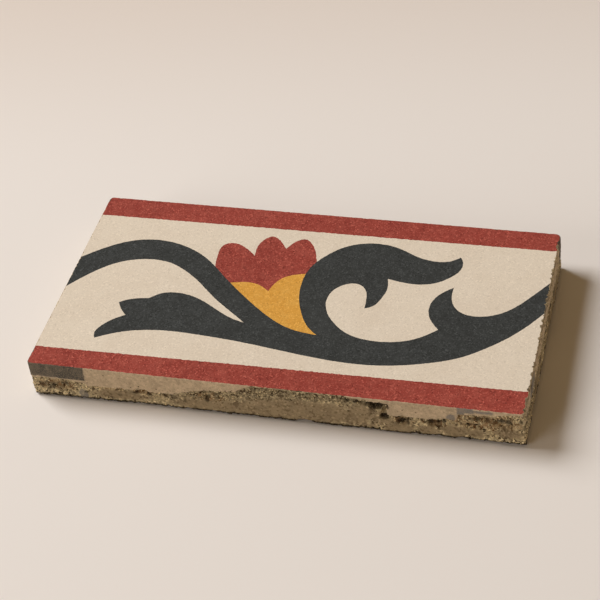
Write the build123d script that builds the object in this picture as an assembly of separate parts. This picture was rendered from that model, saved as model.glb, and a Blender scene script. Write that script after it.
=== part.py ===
from build123d import *
import math
import os

# Pressed cement border tile with a scroll and flower inlaid in its face.
#
# The tile is one pressed block. Its face is a thin coloured mix whose cells (ground, scroll, petals,
# calyx and two bands) lie flush with each other, so each cell is a region of the flat face with no
# relief. On the sides a smooth skin of the face mix hangs down over coarse mortar, which is broken
# back where the skin ends. The mortar has a few hollows, and the bottom edge is crumbled.
#
# Frame: millimetres, origin at the middle of the underside, +X along the length with the flower
# left of the middle, +Y towards the back band and +Z up through the coloured face.

# Nominal size of the block
LENGTH = 200.0
WIDTH = 100.0
THICKNESS = 18.0

# Edges: the four upright corners, front left first and anticlockwise seen from above
CORNER_ROUNDS = (1.4, 1.4, 2.0, 1.6)
ARRIS_ROUND = 0.6
BOTTOM_BEVEL = 0.5

# How far the mortar is broken back behind the smooth skin of each side
FRONT_STEP = 0.6
RIGHT_STEP = 0.25
BACK_STEP = 0.6
LEFT_STEP = 0.5

# The two bands sit slightly askew on the face, so each inner edge has a left and a right height
BACK_BAND_INNER_Y = (38.3, 39.3)
FRONT_BAND_INNER_Y = (-40.6, -38.3)

# How far a cutting shape reaches past the block
PAST = 5.0

HALF_LENGTH = LENGTH / 2
HALF_WIDTH = WIDTH / 2


# Scroll outline, clockwise from the left end. Each stretch is one smooth curve, and sharp tips and
# notches are where two stretches meet. The ends lie on the tile's own left and right edges.
STEM_TOP = [
    (-HALF_LENGTH, 11.1), (-90, 19.0), (-80, 24.1), (-68, 25.7), (-55, 22.7), (-45, 17.0),
    (-35, 7.9), (-25, -1.0), (-10, -12.6), (0, -17.8), (12, -20.1),
]
CURL_BACK = [
    (12, -20.1), (6.8, -15.5), (2.9, -9.1), (0, -1.9), (-1.4, 7.7), (0.2, 18.0), (4.3, 24.5),
    (10, 30.2), (17, 33.7), (25, 34.9), (35, 32.9), (43, 29.1), (51, 27.3), (57.5, 28.4), (61, 31.0),
]
CURL_LEAF_UNDER = [
    (61, 31.0), (62.6, 27.0), (61.4, 22.0), (57.9, 17.9), (52.9, 14.6), (45.5, 13.1), (39, 13.6),
    (33.4, 14.8),
]
LOBE_OUTSIDE = [(33.4, 14.8), (34.5, 9.5), (33.2, 3.2), (30.5, -1.6), (27.6, -3.0)]
EYE = [
    (27.6, -3.0), (27.3, 1.5), (26.1, 6.6), (22.9, 9.9), (19.5, 10.3), (15.2, 8.3), (12.2, 4.6),
    (11.2, -0.5), (13.2, -7.3), (17.5, -12.8), (23.5, -17.4), (30, -19.6), (38, -20.2),
    (47, -18.7), (54, -15.3), (59.4, -10.8),
]
HOOK_BACK = [(59.4, -10.8), (55.8, -6.6), (53.6, -0.8), (54.3, 5.0), (57.3, 9.7), (61.3, 13.1)]
HOOK_FRONT = [
    (61.3, 13.1), (61.3, 8.8), (62.9, 3.4), (66.5, -0.3), (72, -1.7), (79, -0.5), (85, 2.9),
    (91, 9.2), (96, 15.8), (HALF_LENGTH, 21.2),
]
STEM_BOTTOM = [
    (HALF_LENGTH, 4.0), (95, -3.1), (88, -11.2), (80, -18.2), (70, -24.8), (58, -29.2),
    (45, -32.1), (33, -33.1), (20, -32.6), (0, -30.1), (-20, -27.4), (-35, -26.1), (-48, -25.6),
    (-60, -26.7), (-70, -29.6), (-77.3, -33.2),
]
LEAF_TIP = [(-77.3, -33.2), (-78.3, -30.6), (-76.6, -26.0), (-73, -22.0), (-68.9, -19.2)]
LEAF_NOTCH = [(-68.9, -19.2), (-71.8, -16.1), (-74.1, -12.5)]
LEAF_SHOULDER = [(-74.1, -12.5), (-70.6, -10.5), (-66.5, -9.3), (-62.2, -8.6)]
LEAF_TOP = [
    (-62.2, -8.6), (-58.4, -5.5), (-52.5, -4.1), (-45, -5.1), (-38, -8.1), (-30, -12.8),
    (-24, -15.7), (-19.1, -17.1),
]
STEM_UNDER = [
    (-19.1, -17.1), (-25, -12.7), (-35, -5.2), (-45, 3.7), (-52, 8.8), (-60, 12.7), (-68, 13.8),
    (-76, 12.6), (-82, 10.3), (-90, 4.4), (-HALF_LENGTH, -6.9),
]
SCROLL = [
    STEM_TOP, CURL_BACK, CURL_LEAF_UNDER, LOBE_OUTSIDE, EYE, HOOK_BACK, HOOK_FRONT, STEM_BOTTOM,
    LEAF_TIP, LEAF_NOTCH, LEAF_SHOULDER, LEAF_TOP, STEM_UNDER,
]

# Flower: three petals and the two-lobed calyx below them. Both run on under the scroll, where the
# closing points lie, and the scroll is taken out of them.
LEFT_PETAL = [
    (-38, 6.0), (-40.4, 13.5), (-41.3, 20.5), (-40.2, 26.3), (-37, 27.8), (-31.5, 26.2),
    (-25.4, 21.4),
]
MIDDLE_PETAL = [
    (-25.4, 21.4), (-25.8, 25.6), (-24.3, 30.9), (-20.8, 33.8), (-17.2, 31.9), (-13.2, 27.1),
]
RIGHT_PETAL = [
    (-13.2, 27.1), (-10.6, 31.4), (-6.4, 33.8), (-2.6, 30.9), (0.2, 25.6), (1.8, 20.5), (4, 13.0),
]
PETALS_HIDDEN = [(4, 13.0), (3, 6.0), (-14, -2.0), (-30, 0.0), (-38, 6.0)]
CALYX_LEFT = [(-32.5, 4.0), (-28, 5.1), (-24, 5.6), (-19, 4.7), (-14.1, 1.6)]
CALYX_RIGHT = [(-14.1, 1.6), (-12.7, 5.8), (-10.3, 9.5), (-6, 12.1), (0.5, 13.7)]
CALYX_HIDDEN = [(0.5, 13.7), (3, 0.0), (8, -12.0), (13, -22.0), (0, -21.0), (-20, -10.0), (-32.5, 4.0)]

# Lower edge of the smooth skin on each side, as distance along the side and height. The sides
# are read from outside, left to right.
FRONT_SKIN = [
    (-104, 10.4), (-88, 10.6), (-77, 9.6), (-76, 8.2), (-66, 8.7), (-56, 8.5), (-40, 8.6),
    (-33, 11.0), (-27.7, 12.3), (-13.7, 13.8), (-8.5, 16.7), (-5.3, 17.2), (31.7, 17.2), (39.5, 16.0),
    (46.3, 14.5), (46.8, 10.0), (63, 10.2), (70, 11.3), (74, 11.5), (74.3, 14.5), (88, 15.3),
    (95, 16.3), (104, 15.0),
]
RIGHT_SKIN = [
    (-54, 14.0), (-46, 12.4), (-27, 10.4), (-8, 10.8), (12, 11.4), (22, 9.4), (36, 9.8), (54, 10.2),
]
BACK_SKIN = [
    (-104, 10.4), (-78, 11.6), (-61, 9.0), (-38, 8.4), (-22, 12.6), (-2, 14.0), (20, 10.2),
    (46, 9.4), (66, 13.0), (84, 10.6), (104, 11.8),
]
LEFT_SKIN = [(-54, 11.4), (-36, 9.2), (-18, 10.6), (2, 13.6), (20, 11.2), (38, 9.4), (54, 11.5)]

# Scoops crumbled out of the bottom edge of each side: where along it, width, height and depth
FRONT_SCOOPS = [
    (-92.3, 4.0, 1.0, 1.3), (-78, 4.0, 1.2, 1.5), (-71.5, 3.4, 1.1, 1.3), (-34.7, 6.0, 1.6, 1.9),
    (-24.3, 6.0, 1.6, 1.9), (12.7, 10.0, 2.5, 2.8), (75.2, 7.0, 2.4, 2.0), (97, 80.0, 2.3, 1.7),
]
RIGHT_SCOOPS = [(-30, 12.0, 1.6, 1.4), (-3, 7.0, 1.2, 1.8), (21, 15.0, 1.4, 1.2), (40, 6.0, 1.5, 1.9)]
BACK_SCOOPS = [
    (-84, 8.0, 1.4, 1.8), (-57, 14.0, 2.0, 2.2), (-26, 6.0, 1.3, 1.7), (-4, 10.0, 1.0, 1.4),
    (31, 7.0, 1.8, 2.0), (53, 12.0, 1.2, 1.5), (88, 9.0, 2.2, 2.6),
]
LEFT_SCOOPS = [(-38, 9.0, 1.6, 1.7), (-14, 6.0, 1.1, 1.5), (8, 13.0, 1.8, 1.6), (37, 7.0, 1.3, 1.9)]

# Hollows in the mortar of the front: where along it, height, width and depth. The first lies under
# the end of the skin.
FRONT_HOLLOWS = [
    (43.1, 14.3, 7.5, 1.8), (52.5, 7.5, 6.0, 1.4), (65.5, 7.5, 7.6, 1.5), (90.5, 11.2, 8.6, 1.6),
]


def spline_edges(stretches):
    """One smooth edge for each stretch of points, in order."""
    return [Spline(*stretch) for stretch in stretches]


def straight_edges(points):
    """Straight edges from each point to the next."""
    return [Line(a, b) for a, b in zip(points, points[1:])]


def scroll_face():
    """The charcoal scroll, closed along the tile's two ends."""
    right_end = Line(HOOK_FRONT[-1], STEM_BOTTOM[0])
    left_end = Line(STEM_UNDER[-1], STEM_TOP[0])
    edges = spline_edges(SCROLL)
    edges.insert(SCROLL.index(HOOK_FRONT) + 1, right_end)
    return make_face([*edges, left_end])


def calyx_shape():
    """The ochre calyx with the part that the scroll covers."""
    return make_face([*spline_edges([CALYX_LEFT, CALYX_RIGHT]), *straight_edges(CALYX_HIDDEN)])


def petals_shape():
    """The three red petals with the parts that the calyx and the scroll cover."""
    return make_face(
        [*spline_edges([LEFT_PETAL, MIDDLE_PETAL, RIGHT_PETAL]), *straight_edges(PETALS_HIDDEN)]
    )


def band_face(inner_y, outer_y):
    """A red band from its askew inner edge out to the tile's long edge."""
    inner_left, inner_right = (-HALF_LENGTH, inner_y[0]), (HALF_LENGTH, inner_y[1])
    outer_right, outer_left = (HALF_LENGTH, outer_y), (-HALF_LENGTH, outer_y)
    return make_face(Polyline(inner_left, inner_right, outer_right, outer_left, close=True))


def face_cells():
    """The coloured cells, flat on z = 0, that divide the cream ground."""
    scroll = scroll_face()
    calyx = calyx_shape() - scroll
    petals = petals_shape() - calyx_shape() - scroll
    bands = [band_face(BACK_BAND_INNER_Y, HALF_WIDTH), band_face(FRONT_BAND_INNER_Y, -HALF_WIDTH)]
    return [scroll, calyx, petals, *bands]


def side_plane(side):
    """Plane lying on a side: x runs along it from left to right seen from outside, y is up."""
    origins = {
        "front": ((0, -HALF_WIDTH, 0), (1, 0, 0), (0, -1, 0)),
        "right": ((HALF_LENGTH, 0, 0), (0, 1, 0), (1, 0, 0)),
        "back": ((0, HALF_WIDTH, 0), (-1, 0, 0), (0, 1, 0)),
        "left": ((-HALF_LENGTH, 0, 0), (0, -1, 0), (-1, 0, 0)),
    }
    origin, along, outward = origins[side]
    return Plane(origin=origin, x_dir=along, z_dir=outward)


def pressed_block():
    """The block as it leaves the press: rounded corners and eased edges."""
    block = Pos(0, 0, THICKNESS / 2) * Box(LENGTH, WIDTH, THICKNESS)
    corners = [(-1, -1), (1, -1), (1, 1), (-1, 1)]
    for (sx, sy), radius in zip(corners, CORNER_ROUNDS):
        upright = block.edges().filter_by(Axis.Z).sort_by_distance((sx * LENGTH, sy * WIDTH, THICKNESS / 2))[0]
        block = fillet(upright, radius)
    block = fillet(block.faces().sort_by(Axis.Z)[-1].edges(), ARRIS_ROUND)
    return chamfer(block.faces().sort_by(Axis.Z)[0].edges(), BOTTOM_BEVEL)


def mortar_step(side, skin_line, step):
    """What is broken off a side, as deep as the step, below the lower edge of its skin."""
    start, end = skin_line[0][0], skin_line[-1][0]
    below = make_face(Polyline(*skin_line, (end, -PAST), (start, -PAST), close=True))
    return extrude(side_plane(side).offset(-step) * below, amount=PAST)


def bow_offset(width, rise):
    """How far the middle of a circle lies behind a chord of that width under an arc of that rise."""
    half = width / 2
    return (half**2 - rise**2) / (2 * rise)


def scoop(side, along, width, height, depth):
    """Ball that cuts the bottom edge of a side to that width, height and depth."""
    below = bow_offset(width, height)
    outside = bow_offset(width, depth)
    radius = math.hypot(width / 2, below, outside)
    return side_plane(side) * Pos(along, -below, outside) * Sphere(radius)


def hollow(side, along, height, width, depth):
    """Ball that cuts a shallow round hollow in a side."""
    outside = bow_offset(width, depth)
    return side_plane(side) * Pos(along, height, outside) * Sphere(math.hypot(width / 2, outside))


def tile():
    """The whole tile: block, broken sides, crumbled bottom edge and the cells marked on its face."""
    sides = {
        "front": (FRONT_SKIN, FRONT_STEP, FRONT_SCOOPS),
        "right": (RIGHT_SKIN, RIGHT_STEP, RIGHT_SCOOPS),
        "back": (BACK_SKIN, BACK_STEP, BACK_SCOOPS),
        "left": (LEFT_SKIN, LEFT_STEP, LEFT_SCOOPS),
    }
    body = pressed_block()
    for side, (skin_line, step, scoops) in sides.items():
        body -= mortar_step(side, skin_line, step)
        body -= [scoop(side, *place) for place in scoops]
    body -= [hollow("front", *place) for place in FRONT_HOLLOWS]
    for cell in face_cells():
        body = body.split(Pos(0, 0, THICKNESS) * cell, keep=Keep.ALL)[0]
    return body


os.makedirs("parts", exist_ok=True)
export_step(tile(), "parts/border_tile.step")
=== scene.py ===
"""Dresses the pressed cement border tile: inlaid face, skin on the sides and broken mortar.

The outlines repeat the part's own, in millimetres. The tile is one closed mesh, and it stands for
the one solid of the part.
"""

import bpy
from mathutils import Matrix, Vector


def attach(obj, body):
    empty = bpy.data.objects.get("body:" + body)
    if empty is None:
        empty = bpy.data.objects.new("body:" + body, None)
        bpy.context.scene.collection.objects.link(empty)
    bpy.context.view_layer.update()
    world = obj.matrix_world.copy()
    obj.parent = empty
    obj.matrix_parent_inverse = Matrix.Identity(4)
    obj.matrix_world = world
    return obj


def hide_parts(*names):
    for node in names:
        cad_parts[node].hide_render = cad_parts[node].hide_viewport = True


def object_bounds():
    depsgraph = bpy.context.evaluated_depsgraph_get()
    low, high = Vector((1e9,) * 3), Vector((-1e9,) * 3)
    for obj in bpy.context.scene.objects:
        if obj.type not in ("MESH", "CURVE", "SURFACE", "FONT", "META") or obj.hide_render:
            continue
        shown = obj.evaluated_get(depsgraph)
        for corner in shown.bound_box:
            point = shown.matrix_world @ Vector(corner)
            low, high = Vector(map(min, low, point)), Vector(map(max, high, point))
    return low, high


bl_info = {
    "name": "Cement Border Tile",
    "version": (1, 0, 0),
    "blender": (4, 5, 0),
    "location": "View3D > Sidebar > Border Tile",
    "description": "Makes a cement border tile with an inlaid scroll, and the stage it lies on",
    "category": "Add Mesh",
}

import math

import bpy
import numpy as np
from bpy.props import FloatProperty, FloatVectorProperty, IntProperty, PointerProperty
from mathutils import Matrix, Vector, noise
from mathutils.geometry import delaunay_2d_cdt

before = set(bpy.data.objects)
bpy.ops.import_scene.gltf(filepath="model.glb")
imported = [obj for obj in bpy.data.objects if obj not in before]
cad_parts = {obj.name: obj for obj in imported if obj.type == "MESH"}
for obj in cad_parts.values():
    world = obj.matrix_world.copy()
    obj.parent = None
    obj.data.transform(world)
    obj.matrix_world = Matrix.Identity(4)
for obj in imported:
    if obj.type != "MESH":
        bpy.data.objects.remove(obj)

MM = 0.001
CAD_BOX = [list(corner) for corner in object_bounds()]
LENGTH, WIDTH, THICKNESS = ((high - low) / MM for low, high in zip(*CAD_BOX))
HALF_LENGTH = LENGTH / 2
HALF_WIDTH = WIDTH / 2

# The outlines below are in millimetres, seen from above, with the flower left of the middle.
# Scroll outline, clockwise from the left end, one smooth curve from each tip or notch to the next
STEM_TOP = [
    (-HALF_LENGTH, 11.1), (-90, 19.0), (-80, 24.1), (-68, 25.7), (-55, 22.7), (-45, 17.0),
    (-35, 7.9), (-25, -1.0), (-10, -12.6), (0, -17.8), (12, -20.1),
]
CURL_BACK = [
    (12, -20.1), (6.8, -15.5), (2.9, -9.1), (0, -1.9), (-1.4, 7.7), (0.2, 18.0), (4.3, 24.5),
    (10, 30.2), (17, 33.7), (25, 34.9), (35, 32.9), (43, 29.1), (51, 27.3), (57.5, 28.4), (61, 31.0),
]
CURL_LEAF_UNDER = [
    (61, 31.0), (62.6, 27.0), (61.4, 22.0), (57.9, 17.9), (52.9, 14.6), (45.5, 13.1), (39, 13.6),
    (33.4, 14.8),
]
LOBE_OUTSIDE = [(33.4, 14.8), (34.5, 9.5), (33.2, 3.2), (30.5, -1.6), (27.6, -3.0)]
EYE = [
    (27.6, -3.0), (27.3, 1.5), (26.1, 6.6), (22.9, 9.9), (19.5, 10.3), (15.2, 8.3), (12.2, 4.6),
    (11.2, -0.5), (13.2, -7.3), (17.5, -12.8), (23.5, -17.4), (30, -19.6), (38, -20.2),
    (47, -18.7), (54, -15.3), (59.4, -10.8),
]
HOOK_BACK = [(59.4, -10.8), (55.8, -6.6), (53.6, -0.8), (54.3, 5.0), (57.3, 9.7), (61.3, 13.1)]
HOOK_FRONT = [
    (61.3, 13.1), (61.3, 8.8), (62.9, 3.4), (66.5, -0.3), (72, -1.7), (79, -0.5), (85, 2.9),
    (91, 9.2), (96, 15.8), (HALF_LENGTH, 21.2),
]
STEM_BOTTOM = [
    (HALF_LENGTH, 4.0), (95, -3.1), (88, -11.2), (80, -18.2), (70, -24.8), (58, -29.2),
    (45, -32.1), (33, -33.1), (20, -32.6), (0, -30.1), (-20, -27.4), (-35, -26.1), (-48, -25.6),
    (-60, -26.7), (-70, -29.6), (-77.3, -33.2),
]
LEAF_TIP = [(-77.3, -33.2), (-78.3, -30.6), (-76.6, -26.0), (-73, -22.0), (-68.9, -19.2)]
LEAF_NOTCH = [(-68.9, -19.2), (-71.8, -16.1), (-74.1, -12.5)]
LEAF_SHOULDER = [(-74.1, -12.5), (-70.6, -10.5), (-66.5, -9.3), (-62.2, -8.6)]
LEAF_TOP = [
    (-62.2, -8.6), (-58.4, -5.5), (-52.5, -4.1), (-45, -5.1), (-38, -8.1), (-30, -12.8),
    (-24, -15.7), (-19.1, -17.1),
]
STEM_UNDER = [
    (-19.1, -17.1), (-25, -12.7), (-35, -5.2), (-45, 3.7), (-52, 8.8), (-60, 12.7), (-68, 13.8),
    (-76, 12.6), (-82, 10.3), (-90, 4.4), (-HALF_LENGTH, -6.9),
]
SCROLL_UPPER = [STEM_TOP, CURL_BACK, CURL_LEAF_UNDER, LOBE_OUTSIDE, EYE, HOOK_BACK, HOOK_FRONT]
SCROLL_LOWER = [STEM_BOTTOM, LEAF_TIP, LEAF_NOTCH, LEAF_SHOULDER, LEAF_TOP, STEM_UNDER]

# Flower: each outline runs on under the scroll, which covers its hidden points
LEFT_PETAL = [
    (-38, 6.0), (-40.4, 13.5), (-41.3, 20.5), (-40.2, 26.3), (-37, 27.8), (-31.5, 26.2),
    (-25.4, 21.4),
]
MIDDLE_PETAL = [
    (-25.4, 21.4), (-25.8, 25.6), (-24.3, 30.9), (-20.8, 33.8), (-17.2, 31.9), (-13.2, 27.1),
]
RIGHT_PETAL = [
    (-13.2, 27.1), (-10.6, 31.4), (-6.4, 33.8), (-2.6, 30.9), (0.2, 25.6), (1.8, 20.5), (4, 13.0),
]
PETALS_HIDDEN = [(4, 13.0), (3, 6.0), (-14, -2.0), (-30, 0.0), (-38, 6.0)]
CALYX_LEFT = [(-32.5, 4.0), (-28, 5.1), (-24, 5.6), (-19, 4.7), (-14.1, 1.6)]
CALYX_RIGHT = [(-14.1, 1.6), (-12.7, 5.8), (-10.3, 9.5), (-6, 12.1), (0.5, 13.7)]
CALYX_HIDDEN = [(0.5, 13.7), (3, 0.0), (8, -12.0), (13, -22.0), (0, -21.0), (-20, -10.0), (-32.5, 4.0)]

# Inner edge of each band, at the tile's left and right end
BACK_BAND_INNER_Y = (38.3, 39.3)
FRONT_BAND_INNER_Y = (-40.6, -38.3)

# Cells of the face and what lies round it, as numbers that pick the material of a mesh face, with the
# name of each one's material
GROUND, SCROLL, PETALS, CALYX, MORTAR = range(5)
MATERIAL_NAMES = ("cream_cement", "charcoal_cement", "red_cement", "ochre_cement", "broken_mortar")

# The tile's outline, anticlockwise from above: the signs of its corners, and each side's direction,
# with the round of the corner that the side starts from and the spacing of the mesh along it
CORNER_SIGNS = ((-1, -1), (1, -1), (1, 1), (-1, 1))
SIDES = ("front", "right", "back", "left")
SIDE_DIRECTIONS = ((1, 0), (0, 1), (-1, 0), (0, -1))
CORNER_ROUNDS = (1.4, 1.4, 2.0, 1.6)
SIDE_SPACINGS = (0.36, 0.42, 0.6, 0.5)

# Rings of mesh points down the sides. Those of the worn edge have a depth below the face and the share
# of the edge's inset there, and those of the underside have an inset.
EDGE_RINGS = ((0.0, 1.0), (0.08, 0.55), (0.3, 0.12))
FIRST_SIDE_RING = 0.65
SIDE_RING_SPACING = 0.43
LOWEST_SIDE_RING = 0.12
FOOT_RINGS = (0.3, 0.8, 1.4, 2.1, 2.8)
UNDERSIDE_RINGS = (4.6, 5.8, 7.4)

# Spacing of the mesh along the lines of the face, inside its cells and on the underside, and how far
# from the ends of the tile the lines across it stop and are tied to the rim
LINE_SPACING = 0.35
FACE_SPACING = 5.0
UNDERSIDE_SPACING = 3.0
TIE_LENGTH = 1.6

# How far the mortar stands back behind the skin of each side, and the areas where it lies nearly
# level with the skin: place along the side, height, half width and half height
SKIN_STEPS = {"front": 0.6, "right": 0.25, "back": 0.6, "left": 0.5}
LEVEL_MORTAR = {"front": [(-92, 6, 22, 14), (98, 5, 8, 12)], "left": [(44, 6, 18, 14)]}

# How worn the edge of the face is along each side, from 0 to 1, and the stretches that are worn most:
# place along the side, reach and depth
WORN_EDGES = {"front": 0.2, "right": 0.9, "back": 0.25, "left": 0.4}
WORN_STRETCHES = {"front": [(HALF_LENGTH, 3.0, 0.4)], "right": [(-HALF_WIDTH, 8.0, 0.4)]}

# How much of the smooth skin of each side has broken away in flakes, from 0 to 1
FLAKED_SKIN = {"front": 0.0, "right": 0.9, "back": 0.25, "left": 0.5}

# Lower edge of the skin on each side, as distance along the side, from its left end seen from
# outside, and height
SKIN_LINES = {
    "front": [
        (-104, 10.4), (-88, 10.6), (-77, 9.6), (-76, 8.2), (-66, 8.7), (-56, 8.5), (-40, 8.6),
        (-33, 11.0), (-27.7, 12.3), (-13.7, 13.8), (-8.5, 16.9), (-5.3, 19), (27, 19), (31.7, 17.4),
        (39.5, 16.2), (46.3, 14.5), (46.8, 10.0), (63, 10.2), (70, 11.3), (74, 11.5), (74.3, 14.5),
        (88, 15.3), (95, 17.0), (104, 16.6),
    ],
    "right": [
        (-54, 14.0), (-46, 12.4), (-27, 10.4), (-8, 10.8), (12, 11.4), (22, 9.4), (36, 9.8), (54, 10.2),
    ],
    "back": [
        (-104, 10.4), (-78, 11.6), (-61, 9.0), (-38, 8.4), (-22, 12.6), (-2, 14.0), (20, 10.2),
        (46, 9.4), (66, 13.0), (84, 10.6), (104, 11.8),
    ],
    "left": [(-54, 11.4), (-36, 9.2), (-18, 10.6), (2, 13.6), (20, 11.2), (38, 9.4), (54, 10.4)],
}

# Scoops crumbled out of the bottom edge: place along the side, width, height and depth
SCOOPS = {
    "front": [
        (-92.3, 4.0, 1.0, 1.3), (-78, 4.0, 1.2, 1.5), (-71.5, 3.4, 1.1, 1.3), (-34.7, 6.0, 1.6, 1.9),
        (-24.3, 6.0, 1.6, 1.9), (12.7, 10.0, 2.5, 2.8), (75.2, 7.0, 2.4, 2.0), (97, 80.0, 2.3, 1.7),
    ],
    "right": [(-30, 12.0, 1.6, 1.4), (-3, 7.0, 1.2, 1.8), (21, 15.0, 1.4, 1.2), (40, 6.0, 1.5, 1.9)],
    "back": [
        (-84, 8.0, 1.4, 1.8), (-57, 14.0, 2.0, 2.2), (-26, 6.0, 1.3, 1.7), (-4, 10.0, 1.0, 1.4),
        (31, 7.0, 1.8, 2.0), (53, 12.0, 1.2, 1.5), (88, 9.0, 2.2, 2.6),
    ],
    "left": [(-38, 9.0, 1.6, 1.7), (-14, 6.0, 1.1, 1.5), (8, 13.0, 1.8, 1.6), (37, 7.0, 1.3, 1.9)],
}

# Hollows in the sides: place along, height, half width, half height and depth
HOLLOWS = {
    "front": [
        (43.1, 14.4, 3.9, 1.8, 2.0), (45.2, 11.2, 0.9, 1.6, 1.5), (45.1, 8.6, 1.8, 1.1, 1.5),
        (30.2, 15.4, 2.0, 0.8, 1.0), (36.7, 14.6, 1.9, 0.8, 1.2), (52.5, 7.5, 3.0, 2.1, 1.5),
        (65.5, 7.6, 3.8, 2.0, 1.5), (69.0, 9.2, 1.2, 1.2, 1.0), (82.9, 12.3, 3.6, 1.1, 1.1),
        (91.5, 11.4, 4.0, 2.3, 1.4), (80.0, 8.4, 3.4, 1.2, 0.9), (-52.6, 7.9, 2.8, 1.3, 1.0),
        (-87.0, 7.0, 3.6, 1.4, 0.8), (-26.0, 9.0, 1.6, 1.3, 1.0), (-43.0, 7.4, 1.4, 0.7, 0.8),
    ],
    "right": [(-38, 7.5, 2.4, 1.3, 1.1), (14, 6.0, 3.0, 1.2, 1.0), (33, 9.0, 2.0, 1.4, 0.9)],
    "back": [
        (-70, 6.0, 3.4, 1.6, 1.2), (-15, 9.5, 2.6, 1.3, 1.1), (28, 5.5, 4.0, 1.4, 1.3),
        (72, 8.5, 2.8, 1.8, 1.2),
    ],
    "left": [(-27, 6.0, 2.6, 1.5, 1.1), (11, 8.6, 2.2, 1.2, 1.0)],
}

# Patches of face colour that ran down a side: left, right, bottom and top of each
CHARCOAL_PATCHES = {
    "front": [(-103, -76.2, 11.2, 21)],
    "right": [(43.5, 53, 7, 21)],
    "back": [(-103, -98, 7, 21), (97, 103, 9, 21)],
    "left": [(-53, -46, 9, 21), (40.5, 53, 11.6, 21)],
}
SLATE_PATCHES = {
    "front": [(74.0, 76.8, 14.4, 21), (76.4, 80.5, 15.7, 21), (80, 88, 16.3, 17.7)],
    "right": [(-36, -25, 10.6, 16.5)],
}

# Grey pebbles that show in the mortar: place along, height, half width and half height
PEBBLES = {"front": [(-78.3, 3.0, 1.8, 3.4), (71.6, 12.4, 1.5, 2.0)], "back": [(12, 5.5, 2.4, 1.8)]}

# Areas of the mortar: place along, height, half width and half height. Trowelled mortar is smooth and
# olive, coarse mortar is dark and granular, and the rest is pale and full of pores.
TROWELLED = {
    "front": [
        (6, 6.5, 46, 6.2), (-62, 4.5, 13, 2.6), (-28, 4.0, 14, 3.4), (50.5, 2.6, 6.5, 3.2),
        (36, 10.5, 5.5, 2.8), (72.5, 4.6, 5.5, 3.6), (62, 3.5, 4.0, 2.6), (93.5, 6.5, 5.0, 2.6),
        (80, 4.4, 4.5, 2.0),
    ],
    "right": [(-24, 5.5, 18, 3.6), (24, 4.5, 20, 3.4)],
    "back": [(-50, 5.0, 30, 3.8), (44, 5.5, 34, 3.6)],
    "left": [(-22, 5.0, 17, 3.4), (24, 6.0, 16, 3.6)],
}
COARSE = {
    "front": [
        (-25, 9.6, 15, 2.9), (-12, 12.4, 14, 2.4), (10, 15.8, 25, 3.0), (34, 15.6, 8, 1.4),
        (84, 12.0, 12, 2.6), (65, 8.0, 5, 2.2), (52, 7.8, 4.5, 2.4), (-52, 7.6, 5, 1.8),
        (-88, 7.2, 8, 2.2),
    ],
    "right": [(-36, 8.5, 14, 3.0), (10, 7.5, 16, 2.4)],
    "back": [(-12, 9.5, 26, 3.4), (72, 7.5, 18, 3.2)],
    "left": [(6, 9.0, 15, 2.8)],
}

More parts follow.
